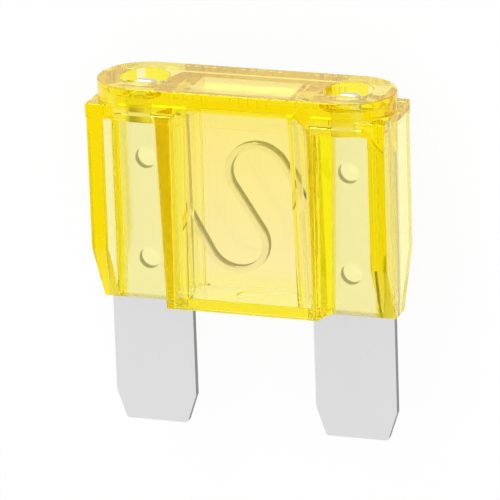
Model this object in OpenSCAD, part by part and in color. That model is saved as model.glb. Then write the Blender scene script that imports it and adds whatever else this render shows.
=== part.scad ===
// Large automotive blade fuse: a clear moulded housing, a stamped zinc element with two blades and an
// S-shaped melting link, and the small plate that closes the window box between the blades.
// The fuse lies on its back: X runs across it, Y from the blade tips to the cap, Z up out of its front face.
// The origin is under the middle of its outline, on the surface that it lies on.

/* [Cap] */
// Height from the blade tips to the top of the cap
overall_h = 34.3; // [33.8:0.1:40]
// Length of the round-ended cap
cap_l = 29; // [28.4:0.1:29.2]
// Thickness of the cap, front to back
cap_t = 8.9; // [8.7:0.1:11]
// Height of the cap's rim
cap_h = 3.2; // [2.9:0.1:3.6]

/* [Shoulders] */
// Width across the two square shoulders
shoulder_l = 29.2; // [29:0.1:32]
// Thickness of the shoulders, front to back
shoulder_t = 8.2; // [8:0.1:8.6]
// Height of the shoulders, up from the cap's lower edge
shoulder_h = 1.4; // [0.8:0.1:2.4]

/* [Body] */
// Height of the body under the cap
body_h = 18.5; // [17.4:0.1:19.4]
// How far each end of the body is set back from its shoulder
end_step = 0.05; // [0.05:0.05:0.2]
// Plastic over each face of a blade
flank_wall = 0.85; // [0.6:0.05:1.1]

/* [End ribs] */
// Width of a rib's front face
rib_w = 1.65; // [1:0.05:1.8]
// Radius of the hollow fillet where a rib meets the flank
rib_fillet_r = 0.55; // [0.2:0.05:0.8]
// Rib thickness, front to back
rib_t = 8; // [6.8:0.1:8]
// Height of the tapered foot
rib_foot_h = 5.6; // [3:0.1:8]
// How far the foot's end face draws in at the bottom edge
rib_foot_inset = 0.12; // [0.05:0.01:0.3]

/* [Window box] */
// Width of the front pane under the cap
box_w_top = 15.4; // [15:0.1:16]
// Width of the front pane at the bottom edge
box_w_low = 14.8; // [14.6:0.1:15.2]
// Thickness of the box, front to back, under the cap
box_t_top = 8.4; // [7.6:0.1:8.6]
// Thickness of the box, front to back, at the bottom edge
box_t_low = 7.2; // [6.6:0.1:8]
// Lean of the box's sides, away from the front pane
box_side_angle = 19; // [5:1:25]

/* [Window chamber] */
// Height of the chamber, up from the bottom edge
chamber_h = 19.9; // [19:0.1:20.7]
// Width of the chamber at its ceiling
chamber_w_top = 13.6; // [13:0.1:14]
// Width of the chamber at its mouth
chamber_w_low = 14; // [13.2:0.1:14.2]
// Depth of the chamber, front to back, at its ceiling
chamber_t_top = 4.6; // [4:0.1:5]
// Depth of the chamber, front to back, at its mouth
chamber_t_low = 5; // [4.2:0.1:5.4]
// Chamfer of the chamber's upper corners
chamber_chamfer = 1.3; // [0.4:0.1:2]
// Distance between the left and the right guide ribs at the ceiling
guide_gap_top = 9.9; // [9:0.1:10.4]
// Distance between the left and the right guide ribs at the closing plate
guide_gap_low = 10.8; // [9.4:0.1:10.9]
// Thickness of a guide rib
guide_t = 0.5; // [0.3:0.05:0.54]

/* [Blades] */
// Width of a blade
blade_w = 8; // [7.6:0.1:8]
// Thickness of a blade
blade_t = 0.8; // [0.6:0.05:1]
// Distance between the centre lines of the two blades
blade_pitch = 19.97; // [19.9:0.01:20]
// Height of the chamfers at a blade's tip
tip_chamfer_h = 2.86; // [1:0.1:4]
// Width of the chamfers at a blade's tip
tip_chamfer_w = 0.87; // [0.3:0.05:2]
// Radius that rounds the tip's two corners
tip_r = 0.35; // [0.1:0.05:0.6]
// How far a blade's upper edge lies under the cap's top
blade_drop = 3.25; // [3.2:0.05:4]
// Chamfer of a blade's upper outer corner
blade_chamfer = 2.3; // [0.5:0.1:2.6]
// Diameter of the anchor holes
hole_d = 2.05; // [1:0.05:3]
// Height of the lower anchor hole over the body's bottom edge
hole_low_h = 3.9; // [2:0.1:6]
// Distance between a blade's two anchor holes
hole_pitch = 9.95; // [5:0.05:11]

/* [Melting link] */
// Width of the link
link_w = 0.62; // [0.4:0.02:1.2]
// Height of the link's middle over the body's bottom edge
link_mid_h = 9.82; // [9:0.02:11]
// Radius of each bend's half beside the slanted stretch, at the centre line
link_bend_r = 2.66; // [1.5:0.02:3]
// Radius of each bend's half beside the leg, at the centre line
link_arch_r = 3; // [2:0.05:3.4]
// Length of the slanted stretch between the bends
link_slant_l = 4.96; // [3.5:0.02:6]
// Slope of the stretch between the bends
link_slant_angle = 57.9; // [50:0.1:65]
// Slope of the two legs that run to the blades
link_leg_angle = 61.7; // [55:0.1:68]

/* [Test pockets] */
// Diameter of a test pocket in the cap's top
pocket_d = 4.6; // [3:0.1:6]
// Depth of a test pocket
pocket_depth = 1.3; // [0.8:0.1:1.6]
// Width of the probe tab that stands in a pocket
tab_w = 2.2; // [1.4:0.1:2.8]
// How far the tab's top lies under the cap's top
tab_drop = 0.4; // [0.2:0.05:0.7]
// Radius that rounds the tab's two corners
tab_r = 0.5; // [0.1:0.05:0.6]

/* [Closing plate] */
// Thickness of the closing plate
plate_t = 1; // [0.7:0.05:1.4]
// Diameter of the round gate mark in the plate's middle
gate_d = 2.95; // [1.5:0.05:4]
// Depth of the gate mark
gate_depth = 0.15; // [0.05:0.05:0.3]

/* [Marks on the back of the cap] */
// Height of the sunk bars
mark_h = 1.4; // [0.6:0.1:2]
// Width of a sunk bar
mark_w = 0.4; // [0.2:0.05:0.6]
// Depth of the sunk bars
mark_depth = 0.12; // [0.05:0.01:0.2]
// Distance from one bar to the next in a group
mark_pitch = 0.9; // [0.7:0.05:1]
// Distance from one group of bars to the next
mark_group_pitch = 6.4; // [6:0.1:6.8]

/* [Clearances] */
// Gap on each side of the element in its slot
slot_gap = 0.05; // [0.02:0.01:0.1]
// Gap around the closing plate in the chamber's mouth
plate_gap = 0.03; // [0.02:0.01:0.1]

/* [Hidden] */
$fn = 96;
over = 1;
cap_low = overall_h - cap_h;
body_low = cap_low - body_h;
body_top = cap_low + shoulder_h / 2;
body_l = shoulder_l - 2 * end_step;
slot_t = blade_t + 2 * slot_gap;
flank_t = slot_t + 2 * flank_wall;
blade_x = blade_pitch / 2;
blade_inner = blade_x - blade_w / 2;
blade_top = overall_h - blade_drop;
tab_top = overall_h - tab_drop;
chamber_top = body_low + chamber_h;
plate_top = body_low + plate_t;
link_mid = body_low + link_mid_h;
bars_per_group = 5;

// Sets the fuse, drawn around its own middle plane with Y up from the blade tips, into its resting place
module placed()
    translate([0, -overall_h / 2, cap_t / 2]) children();

// A section drawn as [x, z], drawn out along Y
module along_y(y0, y1)
    translate([0, y1, 0]) rotate([90, 0, 0]) linear_extrude(y1 - y0) children();

// A profile drawn as [y, z], drawn out along X over a given length
module along_x(length)
    rotate([90, 0, 90]) linear_extrude(length, center = true) children();

// The round-ended cap
module cap_block() {
    end_x = (cap_l - cap_t) / 2;
    along_y(cap_low, overall_h) {
        square([2 * end_x, cap_t], center = true);
        for (side = [-1, 1])
            translate([side * end_x, 0]) circle(d = cap_t);
    }
}

module shoulders()
    along_y(cap_low, cap_low + shoulder_h) square([shoulder_l, shoulder_t], center = true);

// The body's outline from the front: its ends draw in along the ribs' feet, and it runs up into the
// shoulders
module body_outline(end)
    polygon([
        [rib_foot_inset - end, body_low],
        [end - rib_foot_inset, body_low],
        [end, body_low + rib_foot_h],
        [end, body_top],
        [-end, body_top],
        [-end, body_low + rib_foot_h]
    ]);

module flanks()
    linear_extrude(flank_t, center = true) body_outline(body_l / 2);

// Half of a rib's section, front of the middle plane, with the hollow fillet at its root
function rib_half_section(outer) =
    let (inner = outer - rib_w, root = flank_t / 2, steps = 8)
    concat(
        [[outer, 0], [outer, rib_t / 2], [inner, rib_t / 2]],
        [
            for (step = [0:steps])
                let (angle = 90 * step / steps)
                    [inner - rib_fillet_r * (1 - cos(angle)), root + rib_fillet_r * (1 - sin(angle))]
        ],
        [[inner - rib_fillet_r, 0]]
    );

// One end rib: its section along Y, cut to the tapered foot's profile and to the body's outline
module end_rib(side)
    intersection() {
        mirror([side < 0 ? 1 : 0, 0, 0])
            along_y(body_low, body_top)
                for (face = [0, 1])
                    mirror([0, face]) polygon(rib_half_section(body_l / 2));
        along_x(2 * shoulder_l)
            polygon([
                [body_low, -flank_t / 2],
                [body_low + rib_foot_h, -rib_t / 2],
                [body_top, -rib_t / 2],
                [body_top, rib_t / 2],
                [body_low + rib_foot_h, rib_t / 2],
                [body_low, flank_t / 2]
            ]);
        linear_extrude(2 * cap_t, center = true) body_outline(body_l / 2);
    }

// Half space that ends at the box's right side face, front and back, leaning in towards the panes
module box_side_limit() {
    edge = box_w_low / 2;
    reach = box_t_top;
    lean = tan(box_side_angle);
    draft = atan((box_w_top / 2 - edge + (box_t_top - box_t_low) / 2 * lean) / body_h);
    translate([edge, body_low, 0])
        rotate([0, 0, -draft])
            along_y(-reach, body_h + reach)
                polygon([
                    [-2 * shoulder_l, -reach],
                    [-(reach - box_t_low / 2) * lean, -reach],
                    [box_t_low / 2 * lean, 0],
                    [-(reach - box_t_low / 2) * lean, reach],
                    [-2 * shoulder_l, reach]
                ]);
}

// The box behind the window pane, drafted on all four sides
module window_box()
    intersection() {
        along_x(2 * shoulder_l)
            polygon([
                [body_low, -box_t_low / 2],
                [cap_low, -box_t_top / 2],
                [body_top, -box_t_top / 2],
                [body_top, box_t_top / 2],
                [cap_low, box_t_top / 2],
                [body_low, box_t_low / 2]
            ]);
        box_side_limit();
        mirror([1, 0, 0]) box_side_limit();
    }

// The chamber's width and its depth, front to back, at a height over the bottom edge
function chamber_w_at(height) = chamber_w_low + (chamber_w_top - chamber_w_low) * height / chamber_h;
function chamber_t_at(height) = chamber_t_low + (chamber_t_top - chamber_t_low) * height / chamber_h;

// The hollow in the window box, open at the bottom edge
module chamber() {
    low = body_low - over;
    low_w = chamber_w_at(-over);
    low_t = chamber_t_at(-over);
    intersection() {
        along_x(2 * shoulder_l)
            polygon([
                [low, -low_t / 2],
                [chamber_top, -chamber_t_top / 2],
                [chamber_top, chamber_t_top / 2],
                [low, low_t / 2]
            ]);
        linear_extrude(2 * cap_t, center = true)
            polygon([
                [-low_w / 2, low],
                [low_w / 2, low],
                [chamber_w_top / 2, chamber_top - chamber_chamfer],
                [chamber_w_top / 2 - chamber_chamfer, chamber_top],
                [chamber_chamfer - chamber_w_top / 2, chamber_top],
                [-chamber_w_top / 2, chamber_top - chamber_chamfer]
            ]);
    }
}

// The thin ribs, front and back, that guide the element's middle and stop the closing plate
module guide_ribs()
    linear_extrude(cap_t, center = true)
        for (side = [0, 1])
            mirror([side, 0])
                polygon([
                    [guide_gap_low / 2, plate_top],
                    [guide_gap_low / 2 + guide_t, plate_top],
                    [guide_gap_top / 2 + guide_t, chamber_top + over],
                    [guide_gap_top / 2, chamber_top + over]
                ]);

// Outline of one blade with its probe tab, grown by a gap on every side that the housing meets
module blade_outline(gap) {
    half = blade_w / 2;
    flat_tip = half - tip_chamfer_w - tip_r;
    hull() {
        for (side = [-1, 1])
            translate([side * flat_tip, tip_r]) circle(r = tip_r);
        translate([-half - gap, tip_chamfer_h])
            square([blade_w + 2 * gap, blade_top - blade_chamfer - tip_chamfer_h]);
        translate([-half - gap, tip_chamfer_h])
            square([blade_w + 2 * gap - blade_chamfer, blade_top + gap - tip_chamfer_h]);
    }
    translate([-tab_w / 2 - gap, blade_top - over])
        square([tab_w + 2 * gap, tab_top - blade_top + over - tab_r]);
    hull()
        for (side = [-1, 1])
            translate([side * (tab_w / 2 - tab_r), tab_top - tab_r]) circle(r = tab_r + gap);
}

// Both blade outlines, each with its chamfered corner outwards
module blade_pair(gap)
    for (side = [0, 1])
        mirror([side, 0]) translate([blade_x, 0]) blade_outline(gap);

// The slot that the element slides up into, open at the bottom edge
module element_slot()
    linear_extrude(slot_t, center = true) {
        blade_pair(slot_gap);
        translate([-blade_x, body_low - over])
            square([blade_pitch, chamber_top - chamber_chamfer - body_low]);
    }

module test_pockets()
    for (side = [-1, 1])
        translate([side * blade_x, overall_h + over, 0])
            rotate([90, 0, 0]) cylinder(d = pocket_d, h = pocket_depth + over);

// Three groups of plain sunk bars on the back of the cap
module back_marks()
    for (group = [-1:1], bar = [0:bars_per_group - 1])
        translate([
            group * mark_group_pitch + (bar - (bars_per_group - 1) / 2) * mark_pitch,
            cap_low + cap_h / 2,
            -cap_t / 2
        ])
            cube([mark_w, mark_h, 2 * mark_depth], center = true);

// Centre line of the link, worked out from its middle towards the right blade:
// half the slanted stretch, a bend clockwise in two halves, then a straight leg
slant_end = link_slant_l / 2 * [-cos(link_slant_angle), sin(link_slant_angle)];
bend_centre = slant_end + link_bend_r * [sin(link_slant_angle), cos(link_slant_angle)];
bend_from = 270 - link_slant_angle;
bend_to = 90 - link_leg_angle;
bend_half = (bend_from + bend_to) / 2;
arch_centre = bend_centre + (link_bend_r - link_arch_r) * [cos(bend_half), sin(bend_half)];
bend_steps = 18;
leg_reach = blade_inner + link_w;

// Points on an arc between two angles
function arc_points(centre, radius, from, to) = [
    for (step = [0:bend_steps])
        let (angle = from + (to - from) * step / bend_steps)
            centre + radius * [cos(angle), sin(angle)]
];

// One edge of the link at a distance from its centre line, from the slanted stretch to the blade
function link_edge(aside) =
    let (
        bend = arc_points(bend_centre, link_bend_r + aside, bend_from, bend_half),
        arch = arc_points(arch_centre, link_arch_r + aside, bend_half, bend_to),
        start = arch[bend_steps],
        end = [leg_reach, start[1] - (leg_reach - start[0]) * tan(link_leg_angle)]
    )
    concat(bend, [for (i = [1:bend_steps]) arch[i]], [end]);

// The whole link: its second half is the first one turned half round
module melting_link() {
    outer = link_edge(link_w / 2);
    inner = link_edge(-link_w / 2);
    count = len(inner);
    half = concat(outer, [for (i = [1:count]) inner[count - i]]);
    translate([0, link_mid]) polygon(concat(half, -half));
}

module anchor_holes()
    for (side = [-1, 1], level = [0, 1])
        translate([side * blade_x, body_low + hole_low_h + level * hole_pitch, 0])
            cylinder(d = hole_d, h = 2 * blade_t, center = true);

module housing()
    color([0.98, 0.86, 0.1, 0.55])
        placed()
            difference() {
                union() {
                    cap_block();
                    shoulders();
                    flanks();
                    end_rib(-1);
                    end_rib(1);
                    window_box();
                }
                difference() {
                    chamber();
                    guide_ribs();
                }
                element_slot();
                test_pockets();
                back_marks();
            }

module fuse_element()
    color([0.82, 0.83, 0.84])
        placed()
            difference() {
                union() {
                    linear_extrude(blade_t, center = true) blade_pair(0);
                    linear_extrude(blade_t, center = true) melting_link();
                }
                anchor_holes();
            }

// Fills the chamber's mouth and straddles the inner edge of each blade
module closing_plate()
    color([0.95, 0.82, 0.1, 0.7])
        placed()
            difference() {
                along_y(body_low, plate_top)
                    square(
                        [chamber_w_at(plate_t), chamber_t_at(plate_t)] - 2 * [plate_gap, plate_gap],
                        center = true
                    );
                translate([0, plate_top - gate_depth, 0])
                    rotate([-90, 0, 0]) cylinder(d = gate_d, h = over);
                for (side = [-1, 1])
                    translate([
                        side * (blade_inner - plate_gap + chamber_w_low / 2),
                        body_low + plate_t / 2,
                        0
                    ])
                        cube([chamber_w_low, 2 * plate_t, slot_t], center = true);
            }

housing();
fuse_element();
closing_plate();
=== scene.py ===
from math import atan2, cos, degrees, radians, sin, tan

import bmesh
import bpy
from mathutils import Matrix, Vector


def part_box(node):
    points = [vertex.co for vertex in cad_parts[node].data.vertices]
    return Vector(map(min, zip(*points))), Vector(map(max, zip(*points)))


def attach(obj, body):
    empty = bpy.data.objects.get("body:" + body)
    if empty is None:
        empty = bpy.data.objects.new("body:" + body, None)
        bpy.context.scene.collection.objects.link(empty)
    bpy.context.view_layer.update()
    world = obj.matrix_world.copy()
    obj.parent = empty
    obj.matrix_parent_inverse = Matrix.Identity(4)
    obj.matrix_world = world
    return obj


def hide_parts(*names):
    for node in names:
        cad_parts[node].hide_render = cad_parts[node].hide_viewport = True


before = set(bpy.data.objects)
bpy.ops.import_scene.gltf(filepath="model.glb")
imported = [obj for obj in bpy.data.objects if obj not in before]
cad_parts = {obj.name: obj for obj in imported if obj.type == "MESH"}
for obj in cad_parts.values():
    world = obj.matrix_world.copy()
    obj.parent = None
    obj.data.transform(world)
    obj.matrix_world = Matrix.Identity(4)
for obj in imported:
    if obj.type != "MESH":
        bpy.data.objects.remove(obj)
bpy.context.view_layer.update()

# The two blades and their probe tabs: flat zinc alloy strip, stamped in one stroke with the link between
# them. The punch rounds their edges a little and leaves the sheared sides darker and rougher.
MM = 0.001
element_low, element_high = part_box("fuse_element")
housing_low, housing_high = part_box("housing")
middle_z = housing_high.z / 2
body_low = housing_low.y
cap_top = housing_high.y

blade_width = 8 * MM
blade_middle_x = element_high.x - blade_width / 2
blade_thickness = element_high.z - element_low.z
blade_top = cap_top - 3.25 * MM
blade_corner_cut = 2.3 * MM
tip_cut_height = 2.86 * MM
tip_cut_width = 0.87 * MM
tip_radius = 0.35 * MM
tab_width = 2.2 * MM
tab_radius = 0.5 * MM
punched_edge = 0.05 * MM
anchor_hole_radius = 2.05 * MM / 2
anchor_hole_levels = (body_low + 3.9 * MM, body_low + 13.85 * MM)
arc_steps = 12


def arc(centre, radius, start, end, steps=arc_steps):
    """Points on an arc in a plane, from one angle to another, in degrees."""
    return [
        (
            centre[0] + radius * cos(radians(start + (end - start) * i / steps)),
            centre[1] + radius * sin(radians(start + (end - start) * i / steps)),
        )
        for i in range(steps + 1)
    ]


def mesh_from(bm, name):
    """Makes a mesh object of a bmesh, with its faces turned outwards."""
    same_point = 1e-8
    bmesh.ops.remove_doubles(bm, verts=bm.verts, dist=same_point)
    bmesh.ops.recalc_face_normals(bm, faces=bm.faces)
    mesh = bpy.data.meshes.new(name)
    bm.to_mesh(mesh)
    bm.free()
    made = bpy.data.objects.new(name, mesh)
    bpy.context.scene.collection.objects.link(made)
    return made


def round_edges(bm, radius, steps, sharper_than=30):
    """Rounds the edges of a bmesh that turn by more than an angle."""
    edges = [e for e in bm.edges if e.calc_face_angle(0) > radians(sharper_than)]
    bmesh.ops.bevel(
        bm, geom=edges, offset=radius, segments=steps, profile=0.5, affect="EDGES", clamp_overlap=False
    )


def loft(name, sections, edge_radius=0, steps=3):
    """A closed solid through sections that have the same number of points, with rounded edges."""
    bm = bmesh.new()
    rings = [[bm.verts.new(point) for point in section] for section in sections]
    for ring, following in zip(rings, rings[1:]):
        for i in range(len(ring)):
            j = (i + 1) % len(ring)
            bm.faces.new((ring[i], ring[j], following[j], following[i]))
    bm.faces.new(rings[0])
    bm.faces.new(rings[-1])
    bmesh.ops.recalc_face_normals(bm, faces=bm.faces)
    if edge_radius:
        round_edges(bm, edge_radius, steps)
    return mesh_from(bm, name)


def along_z(name, outline, low, high, edge_radius=0):
    """A plate: an outline of (x, y) points between two heights."""
    return loft(name, [[(x, y, z) for x, y in outline] for z in (low, high)], edge_radius)


def combine(base, operation, *tools):
    """Joins, cuts or intersects a solid with others, which are used up."""
    for tool in tools:
        step = base.modifiers.new("step", "BOOLEAN")
        step.operation = operation
        step.solver = "MANIFOLD"
        step.object = tool
        graph = bpy.context.evaluated_depsgraph_get()
        result = bpy.data.meshes.new_from_object(base.evaluated_get(graph))
        base.modifiers.clear()
        base.data = result
        bpy.data.objects.remove(tool)
    return base


def blade_outline(side, gap=0.0):
    """One blade with its probe tab, as (x, y) points, grown by a gap where the housing meets it."""
    half = blade_width / 2
    tip = element_low.y
    flat_tip = half - tip_cut_width - tip_radius
    slope = degrees(atan2(tip_cut_height, tip_cut_width))
    tab_half = tab_width / 2 + gap
    tab_top = element_high.y + gap
    round_tab = tab_radius + gap
    right = (
        arc((flat_tip, tip + tip_radius), tip_radius, -90, slope - 90)
        + [
            (half + gap, tip + tip_cut_height),
            (half + gap, blade_top - blade_corner_cut),
            (half + gap - blade_corner_cut, blade_top + gap),
            (tab_half, blade_top + gap),
        ]
        + arc((tab_half - round_tab, tab_top - round_tab), round_tab, 0, 90)
    )
    left = (
        arc((round_tab - tab_half, tab_top - round_tab), round_tab, 90, 180)
        + [
            (-tab_half, blade_top + gap),
            (-half - gap, blade_top + gap),
            (-half - gap, tip + tip_cut_height),
        ]
        + arc((-flat_tip, tip + tip_radius), tip_radius, 270 - slope, 270)
    )
    return [(side * (blade_middle_x + x), y) for x, y in right + left]


def drill(name, x, y, low, high, radius, steps=64):
    """A round cutter along Z."""
    return along_z(name, arc((x, y), radius, 0, 360 - 360 / steps, steps - 1), low, high)


stamping = None
drill_low, drill_high = element_low.z - MM, element_high.z + MM
for side in (-1, 1):
    blade = along_z("blade", blade_outline(side), element_low.z, element_high.z, punched_edge)
    for level in anchor_hole_levels:
        hole = drill("hole", side * blade_middle_x, level, drill_low, drill_high, anchor_hole_radius)
        combine(blade, "DIFFERENCE", hole)
    stamping = combine(stamping, "UNION", blade) if stamping else blade


class Wire:
    """A socket in a shader tree. Sums and products of wires and numbers add Math nodes."""

    def __init__(self, tree, socket=None):
        self.tree, self.socket = tree, socket

    def add(self, kind, settings=None, sockets=None, output=0):
        """Adds a node of any type: its settings first, then the values or links of its sockets."""
        node = self.tree.nodes.new(kind)
        for name, value in (settings or {}).items():
            setattr(node, name, value)
        for name, value in (sockets or {}).items():
            if isinstance(value, Wire):
                self.tree.links.new(value.socket, node.inputs[name])
            else:
                node.inputs[name].default_value = value
        return Wire(self.tree, node.outputs[output] if len(node.outputs) else None)

    def maths(self, operation, first, second):
        return self.add("ShaderNodeMath", {"operation": operation}, {0: first, 1: second})

    def __add__(self, other):
        return self.maths("ADD", self, other)

    def __radd__(self, other):
        return self.maths("ADD", other, self)

    def __sub__(self, other):
        return self.maths("SUBTRACT", self, other)

    def __rsub__(self, other):
        return self.maths("SUBTRACT", other, self)

    def __mul__(self, other):
        return self.maths("MULTIPLY", self, other)

    def __rmul__(self, other):
        return self.maths("MULTIPLY", other, self)

    def step_up(self, start, end):
        """0 below start, 1 above end and smooth in between."""
        sockets = {"Value": self, "From Min": start, "From Max": end}
        return self.add("ShaderNodeMapRange", {"interpolation_type": "SMOOTHSTEP"}, sockets)

    def mix(self, first, second):
        """A colour that goes from first to second as this value goes from 0 to 1."""
        return self.add("ShaderNodeMix", {"data_type": "RGBA"}, {0: self, 6: first, 7: second}, output=2)


def new_material(name):
    """An empty node material and a wire to build its tree from."""
    material = bpy.data.materials.new(name)
    material.use_nodes = True
    material.node_tree.nodes.clear()
    return material, Wire(material.node_tree)


def noise(start, place, scale, detail=2.0, roughness=0.5, stretch=(1, 1, 1)):
    """Noise from 0 to 1 over object coordinates, with cells of 1/scale of a millimetre."""
    cell = [1 / (scale / MM * s) for s in stretch]
    mapped = start.add("ShaderNodeMapping", {"vector_type": "TEXTURE"}, {"Vector": place, "Scale": cell})
    return start.add(
        "ShaderNodeTexNoise", {}, {"Vector": mapped, "Scale": 1.0, "Detail": detail, "Roughness": roughness}
    )


def zinc_material():
    """Satin rolled zinc: fine lines along the strip, faint scuffs, sheared edges that are darker, and
    painted light: the metal is painted brighter inside the housing.
    """
    painted_bright_inside, bare_outside = (0.985, 0.98, 0.965, 1), (0.785, 0.785, 0.79, 1)
    sheared, sheared_painted_bright = (0.3, 0.3, 0.29, 1), (0.4, 0.4, 0.37, 1)
    scuffed, dulled = (0.5, 0.5, 0.52, 1), (0.6, 0.61, 0.63, 1)
    tab_low, tab_high = cap_top - 1.2 * MM, cap_top - 0.9 * MM
    mouth_low, mouth_high = body_low - 0.1 * MM, body_low + 0.3 * MM
    material, start = new_material("rolled_zinc")
    place = start.add("ShaderNodeTexCoord", output=3)
    facing = start.add("ShaderNodeTexCoord", output=1)
    height = start.add("ShaderNodeSeparateXYZ", {}, {0: place}, output=1)
    upward = start.add("ShaderNodeSeparateXYZ", {}, {0: facing}, output=2)
    rubbed = height.step_up(tab_low, tab_high)
    edge = (1 - upward.maths("ABSOLUTE", upward, 0).step_up(0.35, 0.75)) * (1 - 0.5 * rubbed)
    rolled = noise(start, place, scale=9, detail=3, stretch=(1, 0.02, 1))
    clouds = noise(start, place, scale=0.25, detail=4)
    scratches = noise(start, place, scale=1.1, detail=6, roughness=0.7, stretch=(1, 0.35, 1))
    scuffs = scratches.step_up(0.66, 0.8)
    # Painted light: the blade inside the housing, its sheared edges too, is painted brighter than the bare
    # blade below it. This stands for the light that the yellow plastic around it throws on the metal.
    housed = height.step_up(mouth_low, mouth_high)
    face = housed.mix(bare_outside, painted_bright_inside)
    worn = (scuffs * 0.35 * (1 - housed)).mix(face, scuffed)
    toned = (rolled * 0.05 + clouds * 0.05).mix(worn, dulled)
    colour = edge.mix(toned, housed.mix(sheared, sheared_painted_bright))
    bump = start.add(
        "ShaderNodeBump", {}, {"Strength": 0.25, "Distance": 0.01 * MM, "Height": rolled + scuffs * -0.6}
    )
    shader = start.add(
        "ShaderNodeBsdfPrincipled",
        {},
        {
            "Base Color": colour,
            "Metallic": 1.0,
            "Roughness": 0.32 - housed * 0.2 + rolled * 0.08 + edge * 0.2 + scuffs * 0.1,
            "Normal": bump,
        },
    )
    start.add("ShaderNodeOutputMaterial", {}, {"Surface": shader})
    return material


zinc = zinc_material()

# The melting link: a narrow S of the same strip, which the punch leaves between the two blades.
# It is swept along its own centre line: a slanted stretch in the middle, then on each side a bend
# and a straight leg to the blade.
link_width = 0.62 * MM
link_middle_y = body_low + 9.82 * MM
bend_radius = 2.66 * MM
arch_radius = 3 * MM
slant_length = 4.96 * MM
slant_slope = 57.9
leg_slope = 61.7
bend_steps = 24
blade_inner_x = blade_middle_x - blade_width / 2


def link_line():
    """The centre line from the left blade to the right one, point by point."""
    slant_end = Vector((-cos(radians(slant_slope)), sin(radians(slant_slope)))) * slant_length / 2
    bend_centre = slant_end + bend_radius * Vector((sin(radians(slant_slope)), cos(radians(slant_slope))))
    start, end = 270 - slant_slope, 90 - leg_slope
    halfway = (start + end) / 2
    outward = Vector((cos(radians(halfway)), sin(radians(halfway))))
    arch_centre = bend_centre + (bend_radius - arch_radius) * outward
    bend = arc(bend_centre, bend_radius, start, halfway, bend_steps)
    arch = arc(arch_centre, arch_radius, halfway, end, bend_steps)
    curve = [Vector(p) for p in bend + arch[1:]]
    reach = blade_inner_x + link_width
    leg = Vector((reach, curve[-1].y - (reach - curve[-1].x) * tan(radians(leg_slope))))
    half = [*curve, leg]
    return [-p for p in reversed(half)] + half


def geometry_tree(name, inputs):
    """An empty Geometry Nodes tree with named inputs, which come after the geometry."""
    tree = bpy.data.node_groups.new(name, "GeometryNodeTree")
    tree.interface.new_socket("Geometry", in_out="INPUT", socket_type="NodeSocketGeometry")
    tree.interface.new_socket("Geometry", in_out="OUTPUT", socket_type="NodeSocketGeometry")
    for label, kind in inputs.items():
        tree.interface.new_socket(label, in_out="INPUT", socket_type=kind)
    source = tree.nodes.new("NodeGroupInput")
    sink = tree.nodes.new("NodeGroupOutput")

    def add(kind, settings=None, sockets=None):
        node = tree.nodes.new(kind)
        for label, value in (settings or {}).items():
            setattr(node, label, value)
        for label, value in (sockets or {}).items():
            if isinstance(value, bpy.types.NodeSocket):
                tree.links.new(value, node.inputs[label])
            else:
                node.inputs[label].default_value = value
        return node

    def close(geometry, material):
        real = add("GeometryNodeRealizeInstances", {}, {"Geometry": geometry})
        sockets = {"Geometry": real.outputs[0], "Material": source.outputs[material]}
        coloured = add("GeometryNodeSetMaterial", {}, sockets)
        tree.links.new(coloured.outputs[0], sink.inputs[0])

    return tree, source, add, close


def grow(base, tree, values):
    """Runs a Geometry Nodes tree on an object with these inputs, and keeps the result as its plain mesh."""
    modifier = base.modifiers.new("grow", "NODES")
    modifier.node_group = tree
    for item in tree.interface.items_tree:
        if item.in_out == "INPUT" and item.name in values:
            modifier[item.identifier] = values[item.name]
    graph = bpy.context.evaluated_depsgraph_get()
    result = bpy.data.meshes.new_from_object(base.evaluated_get(graph))
    base.modifiers.clear()
    base.data = result
    return base


def sweep_tree():
    """Sweeps a rounded rectangle along the edges of a mesh."""
    tree, source, add, close = geometry_tree(
        "sweep_strip",
        {
            "Width": "NodeSocketFloat",
            "Thickness": "NodeSocketFloat",
            "Edge radius": "NodeSocketFloat",
            "Material": "NodeSocketMaterial",
        },
    )
    path = add("GeometryNodeMeshToCurve", {}, {"Mesh": source.outputs["Geometry"]})
    upright = add("GeometryNodeSetCurveNormal", {"mode": "Z_UP"}, {"Curve": path.outputs[0]})
    section = add(
        "GeometryNodeCurvePrimitiveQuadrilateral",
        {},
        {"Width": source.outputs["Width"], "Height": source.outputs["Thickness"]},
    )
    rounded = add(
        "GeometryNodeFilletCurve",
        {"mode": "POLY"},
        {"Curve": section.outputs[0], "Count": 3, "Radius": source.outputs["Edge radius"]},
    )
    swept = add(
        "GeometryNodeCurveToMesh",
        {},
        {"Curve": upright.outputs[0], "Profile Curve": rounded.outputs[0], "Fill Caps": True},
    )
    close(swept.outputs[0], "Material")
    return tree


line = bpy.data.meshes.new("link_line")
points = [(p.x, p.y + link_middle_y, middle_z) for p in link_line()]
line.from_pydata(points, [(i, i + 1) for i in range(len(points) - 1)], [])
link = bpy.data.objects.new("link", line)
bpy.context.scene.collection.objects.link(link)
grow(
    link,
    sweep_tree(),
    {"Width": link_width, "Thickness": blade_thickness, "Edge radius": punched_edge, "Material": zinc},
)
combine(stamping, "UNION", link)
stamping.name = "stamped_element"
stamping.data.materials.clear()
stamping.data.materials.append(zinc)
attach(stamping, "root")
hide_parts("fuse_element")

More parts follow.
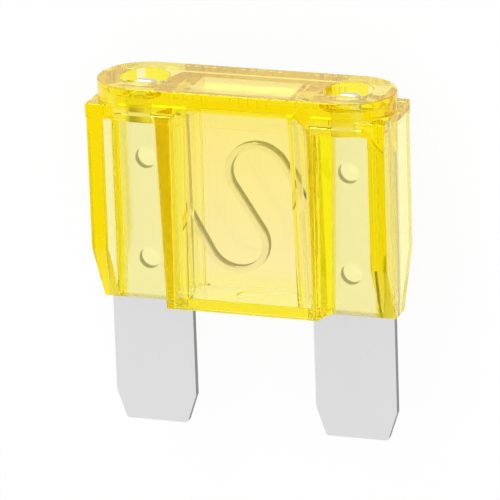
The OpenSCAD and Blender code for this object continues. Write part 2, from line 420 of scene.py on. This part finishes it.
# The housing: one injection moulding in clear yellow plastic, cored from below for the element and the
# chamber. Cap, shoulders, flanks, end ribs and window box are one piece, and the mould rounds its edges.
mould_radius = 0.1 * MM
cap_half_length = 14.5 * MM
cap_half_depth = middle_z
cap_low = cap_top - 3.2 * MM
shoulder_half_depth = 4.1 * MM
shoulder_height = 1.4 * MM
flank_half_width = housing_high.x - 0.05 * MM
flank_half_depth = 1.3 * MM
rib_width = 1.65 * MM
rib_half_depth = 4 * MM
rib_fillet = 0.55 * MM
rib_foot_height = 5.6 * MM
rib_foot_inset = 0.12 * MM
pane_half_width_top = 7.7 * MM
pane_half_width_low = 7.4 * MM
box_half_depth_top = 4.2 * MM
box_half_depth_low = 3.6 * MM
box_side_lean = tan(radians(19))
overlap = 0.7 * MM
vanishing = 0.01 * MM
cap_steps = 96


def across(level, points):
    """Points (x, distance in front of the middle plane) as a section at one height."""
    return [(x, level, middle_z + depth) for x, depth in points]


def rectangle(half_width, half_depth):
    return [
        (-half_width, -half_depth),
        (half_width, -half_depth),
        (half_width, half_depth),
        (-half_width, half_depth),
    ]


def cap():
    end_x = cap_half_length - cap_half_depth
    right = arc((end_x, 0), cap_half_depth, -90, 90, cap_steps)
    left = arc((-end_x, 0), cap_half_depth, 90, 270, cap_steps)
    return loft("cap", [across(level, right + left) for level in (cap_low, cap_top)], mould_radius)


def shoulders():
    section = rectangle(housing_high.x, shoulder_half_depth)
    levels = (cap_low, cap_low + shoulder_height)
    return loft("shoulders", [across(level, section) for level in levels], mould_radius)


def flanks():
    outline = [
        (flank_half_width - rib_foot_inset, body_low),
        (flank_half_width, body_low + rib_foot_height),
        (flank_half_width, cap_low + overlap),
    ]
    outline += [(-x, y) for x, y in reversed(outline)]
    low, high = middle_z - flank_half_depth, middle_z + flank_half_depth
    return along_z("flanks", outline, low, high, mould_radius / 2)


def end_rib(side):
    """A square rib, which narrows at its foot to the flank's thickness."""
    levels = [
        (body_low, flank_half_width - rib_foot_inset, flank_half_depth + vanishing),
        (body_low + rib_foot_height, flank_half_width, rib_half_depth),
        (cap_low + overlap, flank_half_width, rib_half_depth),
    ]
    inner = flank_half_width - rib_width
    sections = []
    for level, outer, depth in levels:
        corners = ((inner, -depth), (outer, -depth), (outer, depth), (inner, depth))
        sections.append(across(level, [(side * x, z) for x, z in corners]))
    return loft("rib", sections, mould_radius)


def root_fillet(side, face):
    """The hollow fillet between a rib and the flank, on one face, which dies out at the foot."""
    root_x = flank_half_width - rib_width
    sunk = 0.2 * MM
    runout = rib_foot_height * rib_fillet / (rib_half_depth - flank_half_depth)
    fillet_steps = 24
    stages = ((body_low, vanishing), (body_low + runout, rib_fillet), (cap_low + overlap, rib_fillet))
    sections = []
    for level, radius in stages:
        hollow = arc((root_x - radius, flank_half_depth + radius), radius, -90, 0, fillet_steps)
        outline = hollow + [
            (root_x + sunk, flank_half_depth + radius),
            (root_x + sunk, flank_half_depth - sunk),
            (root_x - radius, flank_half_depth - sunk),
        ]
        sections.append(across(level, [(side * x, face * depth) for x, depth in outline]))
    return loft("fillet", sections)


def window_box():
    """The drafted box, six-sided in section, widest in its middle plane."""

    def section(pane, depth):
        widest = pane + depth * box_side_lean
        right = [(pane, depth), (widest, 0), (pane, -depth)]
        return right + [(-x, d) for x, d in reversed(right)]

    share = overlap / (cap_low - body_low)
    beyond = section(
        pane_half_width_top + (pane_half_width_top - pane_half_width_low) * share,
        box_half_depth_top + (box_half_depth_top - box_half_depth_low) * share,
    )
    low = section(pane_half_width_low, box_half_depth_low)
    return loft("box", [across(body_low, low), across(cap_low + overlap, beyond)], mould_radius)


housing = combine(cap(), "UNION", shoulders(), flanks(), end_rib(-1), end_rib(1), window_box())
combine(housing, "UNION", *[root_fillet(side, face) for side in (-1, 1) for face in (-1, 1)])

# The chamber behind the panes, where the link melts in free air, and the thin ribs beside the link's ends.
# A steel core leaves it open at the bottom, so that it widens downwards, with round corners.
chamber_top = body_low + 19.9 * MM
chamber_half_width_top = 6.8 * MM
chamber_half_width_low = 7 * MM
chamber_half_depth_top = 2.3 * MM
chamber_half_depth_low = 2.5 * MM
chamber_corner_cut = 1.3 * MM
core_radius = 0.3 * MM
guide_half_gap_top = 4.95 * MM
guide_half_gap_low = 5.4 * MM
guide_thickness = 0.5 * MM
plate_thickness = 1 * MM
guide_gap = 0.02 * MM


def chamber_half_width(level):
    share = (level - body_low) / (chamber_top - body_low)
    return chamber_half_width_low + (chamber_half_width_top - chamber_half_width_low) * share


def chamber_half_depth(level):
    share = (level - body_low) / (chamber_top - body_low)
    return chamber_half_depth_low + (chamber_half_depth_top - chamber_half_depth_low) * share


def chamber_core():
    below = body_low - overlap
    corner = chamber_top - chamber_corner_cut
    sections = [
        across(below, rectangle(chamber_half_width(below), chamber_half_depth(below))),
        across(corner, rectangle(chamber_half_width_top, chamber_half_depth(corner))),
        across(chamber_top, rectangle(chamber_half_width_top - chamber_corner_cut, chamber_half_depth_top)),
    ]
    return loft("core", sections, core_radius, steps=8)


def guide_rib(side):
    plate_top = body_low + plate_thickness + guide_gap
    above = chamber_top + overlap
    outline = [
        (side * guide_half_gap_low, plate_top),
        (side * (guide_half_gap_low + guide_thickness), plate_top),
        (side * (guide_half_gap_top + guide_thickness), above),
        (side * guide_half_gap_top, above),
    ]
    return along_z("guide", outline, middle_z - cap_half_depth, middle_z + cap_half_depth)


core = combine(chamber_core(), "DIFFERENCE", guide_rib(-1), guide_rib(1))

# The slot for the element and the two round test pockets that the probe tabs stand in.
# The slot is cored from below with the chamber, and the pockets from above, with a fillet at their floor.
slot_gap = 0.05 * MM
slot_half = blade_thickness / 2 + slot_gap
pocket_radius = 2.3 * MM
pocket_depth = 1.3 * MM
pocket_lip = 0.1 * MM
slot_top = chamber_top - chamber_corner_cut


def slot_core():
    blades = [
        along_z("slot", blade_outline(side, slot_gap), middle_z - slot_half, middle_z + slot_half)
        for side in (-1, 1)
    ]
    middle = [
        (-blade_middle_x, body_low - overlap),
        (blade_middle_x, body_low - overlap),
        (blade_middle_x, slot_top),
        (-blade_middle_x, slot_top),
    ]
    joined = along_z("slot_middle", middle, middle_z - slot_half, middle_z + slot_half)
    return combine(joined, "UNION", *blades)


def pocket_pin(side, steps=96):
    """A turned pin with a rounded end, which flares a little at the pocket's mouth."""
    floor = cap_top - pocket_depth
    rounding_steps = 4
    fillet = arc((pocket_radius - mould_radius, floor + mould_radius), mould_radius, -90, 0, rounding_steps)
    lip = arc((pocket_radius + pocket_lip, cap_top - pocket_lip), pocket_lip, 180, 90, rounding_steps)
    rim = pocket_radius + pocket_lip
    profile = fillet + lip + [(rim, cap_top + overlap)]
    sections = []
    for radius, level in profile:
        turn = arc((side * blade_middle_x, middle_z), radius, 0, 360 - 360 / steps, steps - 1)
        sections.append([(x, level, z) for x, z in turn])
    return loft("pin", sections)


combine(housing, "DIFFERENCE", core, slot_core(), pocket_pin(-1), pocket_pin(1))

# Plain bars sunk in the flat back of the cap, in three groups, as the mould leaves them.
# They are one repeated shape. The housing then gets its clear plastic.
bar_pitch = 0.9 * MM
group_pitch = 6.4 * MM
bar_groups = 3
bars_per_group = 5
bar_size = (0.4 * MM, 1.4 * MM)
bar_depth = 0.12 * MM


def bars_tree():
    """Repeats a bar in groups along X."""
    tree, source, add, close = geometry_tree(
        "sunk_bars",
        {
            "Bar size": "NodeSocketVector",
            "Bars": "NodeSocketInt",
            "Pitch": "NodeSocketFloat",
            "Groups": "NodeSocketInt",
            "Group pitch": "NodeSocketFloat",
            "Centre": "NodeSocketVector",
            "Material": "NodeSocketMaterial",
        },
    )

    def row(count, pitch):
        steps = add("ShaderNodeMath", {"operation": "SUBTRACT"}, {0: source.outputs[count], 1: 1.0})
        half = add("ShaderNodeMath", {"operation": "MULTIPLY"}, {0: steps.outputs[0], 1: -0.5})
        start_x = add(
            "ShaderNodeMath", {"operation": "MULTIPLY"}, {0: half.outputs[0], 1: source.outputs[pitch]}
        )
        start = add("ShaderNodeCombineXYZ", {}, {0: start_x.outputs[0]})
        offset = add("ShaderNodeCombineXYZ", {}, {0: source.outputs[pitch]})
        return add(
            "GeometryNodeMeshLine",
            {},
            {
                "Count": source.outputs[count],
                "Start Location": start.outputs[0],
                "Offset": offset.outputs[0],
            },
        )

    bar = add("GeometryNodeMeshCube", {}, {"Size": source.outputs["Bar size"]})
    group = add(
        "GeometryNodeInstanceOnPoints",
        {},
        {"Points": row("Bars", "Pitch").outputs[0], "Instance": bar.outputs[0]},
    )
    groups = add(
        "GeometryNodeInstanceOnPoints",
        {},
        {"Points": row("Groups", "Group pitch").outputs[0], "Instance": group.outputs[0]},
    )
    sockets = {"Geometry": groups.outputs[0], "Translation": source.outputs["Centre"]}
    placed = add("GeometryNodeTransform", {}, sockets)
    close(placed.outputs[0], "Material")
    return tree


def absorbing_plastic(name):
    """Clear plastic: its volume takes the blue light and a little of the green.

    The faces of its thick walls are painted a deeper yellow, as painted shade for the long path that light
    takes through them, and the faces of the cored walls are a little rougher.
    """
    # Colours of painted shade, by where a face lies: deeper yellow where light crosses much plastic.
    plain, wall, side_wall, thick = (1, 1, 1, 1), (1, 0.96, 0.78, 1), (1, 0.97, 0.03, 1), (1, 0.85, 0.03, 1)
    pane, pane_foot, cap_tint = (1, 0.89, 1, 1), (1, 0.93, 0.55, 1), (1, 0.87, 0.85, 1)
    mirrored, light_kept, density = (1, 0.88, 0.02, 1), (0.9857, 0.952, 0.119, 1), 420
    grain_roughness, cored_roughness, cap_roughness, trapped_roughness = 0.02, 0.1, 0.1, 0.7

    # Where the walls' faces lie: sideways from the middle, in depth from the middle plane, and in height.
    box_side_inner, box_side_outer, flank_inner = 7.1 * MM, 9.5 * MM, 7.9 * MM
    rib_inner, cap_end = 12.5 * MM, 13.4 * MM
    slot_depth, flank_depth_low, flank_depth_high = 0.6 * MM, 1 * MM, 1.6 * MM
    pane_depth, cap_core_depth, rim_depth = 3.2 * MM, 3.5 * MM, 4.2 * MM
    pane_foot_low, pane_foot_high = body_low + 0.8 * MM, body_low + 4 * MM
    skin = 0.1 * MM

    # How squarely a face looks along an axis, each with its blur.
    slanted, end_on, top_on, front_on = (0.5, 0.1), (0.85, 0.08), (0.9, 0.05), (0.93, 0.03)

    # Light that has met this many walls (its ray depth) is trapped, until the plastic's haze lets it out.
    few_walls, many_walls = 5, 9

    material, start = new_material(name)
    place = start.add("ShaderNodeTexCoord", output=3)
    facing = start.add("ShaderNodeTexCoord", output=1)

    def size_of(vector, axis, centre=0.0):
        value = start.add("ShaderNodeSeparateXYZ", {}, {0: vector}, output=axis) - centre
        return value.maths("ABSOLUTE", value, 0)

    sideways, depth = size_of(place, 0), size_of(place, 2, middle_z)
    level = start.add("ShaderNodeSeparateXYZ", {}, {0: place}, output=1)
    to_side, to_cap, to_front = size_of(facing, 0), size_of(facing, 1), size_of(facing, 2)

    def above(value, limit, blur=0.05 * MM):
        return value.step_up(limit - blur, limit + blur)

    upright = 1 - above(to_cap, *slanted)
    flat = above(to_front, *front_on)
    in_cap = above(level, cap_low)
    rib_front = above(sideways, rib_inner) * above(depth, flank_depth_low) * (1 - above(to_side, *end_on))
    from_middle = depth.maths("MAXIMUM", depth, sideways - box_side_outer)
    rim = above(level, chamber_top) * above(from_middle, rim_depth)
    box_side = above(to_side, *slanted) * above(sideways, box_side_inner)
    box_side = box_side * (1 - above(sideways, box_side_outer)) * (1 - in_cap)
    outer_pane = flat * above(depth, pane_depth)
    flank_face = flat * above(sideways, flank_inner) * above(depth, flank_depth_low)
    flank_face = flank_face * (1 - above(depth, flank_depth_high))
    # Painted shade: the faces of the pane and its foot, the flanks, the box sides, the rib fronts, the rim
    # and the cap's top are painted in the depth of yellow that light takes on along its path through the
    # plastic.
    pane_painted_shade = level.step_up(pane_foot_low, pane_foot_high).mix(pane_foot, pane)
    painted_tint = outer_pane.mix(flank_face.mix(plain, wall), pane_painted_shade)
    painted_tint = (box_side * upright).mix(painted_tint, side_wall)
    painted_tint = (rib_front.maths("MAXIMUM", rib_front, rim) * upright).mix(painted_tint, thick)
    cap_core = in_cap * (1 - above(depth, cap_core_depth)) * (1 - above(sideways, cap_end))
    cap_core = cap_core * (1 - above(level, cap_top - pocket_depth - skin))
    cored = cap_core.maths("MAXIMUM", cap_core, flat * (1 - above(depth, slot_depth)))
    cap_face = above(level, cap_top - skin) * above(to_cap, *top_on)
    painted_tint = cap_face.mix(painted_tint, cap_tint)
    waves = noise(start, place, scale=0.18, detail=2)
    grain = noise(start, place, scale=1.6, detail=4, roughness=0.6)
    bump = start.add(
        "ShaderNodeBump", {}, {"Strength": 0.12, "Distance": 0.05 * MM, "Height": waves + grain * 0.05}
    )
    trapped = start.add("ShaderNodeLightPath", output=9).step_up(few_walls, many_walls)
    haze = grain * grain_roughness + cored * cored_roughness + cap_face * cap_roughness
    shader = start.add(
        "ShaderNodeBsdfPrincipled",
        {},
        {
            "Base Color": painted_tint,
            "Roughness": haze + trapped * trapped_roughness,
            "IOR": 1.58,
            "Transmission Weight": 1.0,
            "Specular Tint": mirrored,
            "Normal": bump,
        },
    )
    inside = start.add("ShaderNodeVolumeAbsorption", {}, {"Color": light_kept, "Density": density})
    start.add("ShaderNodeOutputMaterial", {}, {"Surface": shader, "Volume": inside})
    return material


clear_yellow = absorbing_plastic("clear_yellow_plastic")
bars = bpy.data.objects.new("bars", bpy.data.meshes.new("bars"))
bpy.context.scene.collection.objects.link(bars)
grow(
    bars,
    bars_tree(),
    {
        "Bar size": (*bar_size, 2 * bar_depth),
        "Bars": bars_per_group,
        "Pitch": bar_pitch,
        "Groups": bar_groups,
        "Group pitch": group_pitch,
        "Centre": (0, (cap_low + cap_top) / 2, 0),
        "Material": clear_yellow,
    },
)
combine(housing, "DIFFERENCE", bars)
housing.name = "clear_housing"
housing.data.materials.clear()
housing.data.materials.append(clear_yellow)
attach(housing, "root")
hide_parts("housing")

# The closing plate: a small moulding of the same plastic, pushed into the chamber's mouth last of all.
# It stops on the guide ribs, straddles the blades' inner edges and has a round gate mark in its middle.
plate_gap = 0.03 * MM
gate_radius = 2.95 * MM / 2
gate_depth = 0.15 * MM
gate_steps = 96
corner_steps = 6


def closing_plate():
    plate_top = body_low + plate_thickness
    half_width = chamber_half_width(plate_top) - plate_gap
    half_depth = chamber_half_depth(plate_top) - plate_gap
    corner = []
    for x, z, start in ((1, -1, -90), (1, 1, 0), (-1, 1, 90), (-1, -1, 180)):
        centre = (x * (half_width - core_radius), z * (half_depth - core_radius))
        corner += arc(centre, core_radius, start, start + 90, corner_steps)
    plate = loft("plate", [across(level, corner) for level in (body_low, plate_top)], mould_radius / 2)
    turn = arc((0, middle_z), gate_radius, 0, 360 - 360 / gate_steps, gate_steps - 1)
    gate_levels = (plate_top - gate_depth, plate_top + MM)
    gate = loft("gate", [[(x, level, z) for x, z in turn] for level in gate_levels])
    notches = []
    for side in (-1, 1):
        notch = [
            (side * (blade_inner_x - plate_gap), body_low - MM),
            (side * blade_middle_x, body_low - MM),
            (side * blade_middle_x, plate_top + MM),
            (side * (blade_inner_x - plate_gap), plate_top + MM),
        ]
        notches.append(along_z("notch", notch, middle_z - slot_half, middle_z + slot_half))
    return combine(plate, "DIFFERENCE", gate, *notches)


plate = closing_plate()
plate.name = "clear_closing_plate"
plate.data.materials.clear()
plate.data.materials.append(clear_yellow)
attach(plate, "root")
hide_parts("closing_plate")

# The white table that the fuse lies on, and the white studio, with a softbox and a darker gap overhead.
# What the camera, a mirror or clear plastic sees of the table is white, and the table keeps the fuse's soft
# shadow. The gap gives the slanted feet of the ribs their olive tone.

table_half_width = 0.6
table_level = -0.02 * MM
table_seen = 0.93
white = (1, 1, 1, 1)
gap_heading = Vector((-0.08, 0.08, 0.99)).normalized()
gap_half_angle = 11
gap_blurred_angle = 19
gap_grey = (0.15, 0.145, 0.13, 1)
softbox_heading = (-0.31, 0.89, 0.33)
softbox_distance = 0.5
softbox_size = 0.12
softbox_power = 0.7


def white_table():
    half = table_half_width
    corners = [(x, y, table_level) for x, y in ((-half, -half), (half, -half), (half, half), (-half, half))]
    table = bpy.data.objects.new("table", bpy.data.meshes.new("table"))
    table.data.from_pydata(corners, [], [(0, 1, 2, 3)])
    bpy.context.scene.collection.objects.link(table)
    material, start = new_material("white_table")
    lit = start.add("ShaderNodeBsdfDiffuse", {}, {"Color": white})
    glow = start.add("ShaderNodeEmission", {}, {"Color": white, "Strength": 1.0})
    by_camera = start.add("ShaderNodeLightPath", output=0)
    by_mirror = start.add("ShaderNodeLightPath", output=3)
    by_plastic = start.add("ShaderNodeLightPath", output=6)
    outright = by_camera.maths("MAXIMUM", by_camera, by_mirror) * table_seen
    seen = by_plastic.maths("MAXIMUM", by_plastic, outright)
    mixed = start.add("ShaderNodeMixShader", {}, {0: seen, 1: lit, 2: glow})
    start.add("ShaderNodeOutputMaterial", {}, {"Surface": mixed})
    table.data.materials.append(material)


def studio():
    world = bpy.data.worlds.new("studio")
    bpy.context.scene.world = world
    world.use_nodes = True
    world.node_tree.nodes.clear()
    start = Wire(world.node_tree)
    heading = start.add("ShaderNodeTexCoord", output=0)
    toward_gap = start.add(
        "ShaderNodeVectorMath", {"operation": "DOT_PRODUCT"}, {0: heading, 1: gap_heading}, output=1
    )
    gap = toward_gap.step_up(cos(radians(gap_blurred_angle)), cos(radians(gap_half_angle)))
    sky = start.add("ShaderNodeBackground", {}, {"Color": gap.mix(white, gap_grey), "Strength": 1.0})
    start.add("ShaderNodeOutputWorld", {}, {"Surface": sky})


def softbox():
    data = bpy.data.lights.new("softbox", "AREA")
    data.shape = "SQUARE"
    data.size = softbox_size
    data.energy = softbox_power
    lamp = bpy.data.objects.new("softbox", data)
    aim = Vector(softbox_heading).normalized()
    turned = aim.to_track_quat("Z", "Y").to_matrix().to_4x4()
    turned.translation = Vector((0, 0, middle_z)) + aim * softbox_distance
    lamp.matrix_world = turned
    bpy.context.scene.collection.objects.link(lamp)


white_table()
studio()
softbox()

# The camera, at the photograph's angle: above the fuse's front face, to its right and towards its cap.
# A long lens from half a metre, turned a little about its own axis. Light may cross many walls of plastic.
view_azimuth = 0.3380
view_elevation = 0.33514
view_roll = -0.0343
view_distance = 524.767 * MM
view_target = Vector((-0.2045 * MM, 0.6696 * MM, middle_z))
view_focal_px = 5594.93
image_px = 500
sensor_mm = 36
nearest_seen, farthest_seen = 0.05, 20
light_bounces = 48
mirror_bounces = 16


def photo_camera():
    reach = cos(view_elevation)
    toward = Vector((sin(view_azimuth) * reach, sin(view_elevation), cos(view_azimuth) * reach))
    level = Vector((cos(view_azimuth), 0, -sin(view_azimuth)))
    upright = toward.cross(level)
    right = cos(view_roll) * level + sin(view_roll) * upright
    up = cos(view_roll) * upright - sin(view_roll) * level
    data = bpy.data.cameras.new("photo_camera")
    data.sensor_width = sensor_mm
    data.lens = data.sensor_width * view_focal_px / image_px
    data.clip_start, data.clip_end = nearest_seen, farthest_seen
    camera = bpy.data.objects.new("photo_camera", data)
    place = Matrix((right, up, toward)).transposed().to_4x4()
    place.translation = view_target + toward * view_distance
    camera.matrix_world = place
    bpy.context.scene.collection.objects.link(camera)
    bpy.context.scene.camera = camera


photo_camera()
scene = bpy.context.scene
scene.view_settings.view_transform = "Standard"
scene.cycles.max_bounces = light_bounces
scene.cycles.transmission_bounces = light_bounces
scene.cycles.glossy_bounces = mirror_bounces
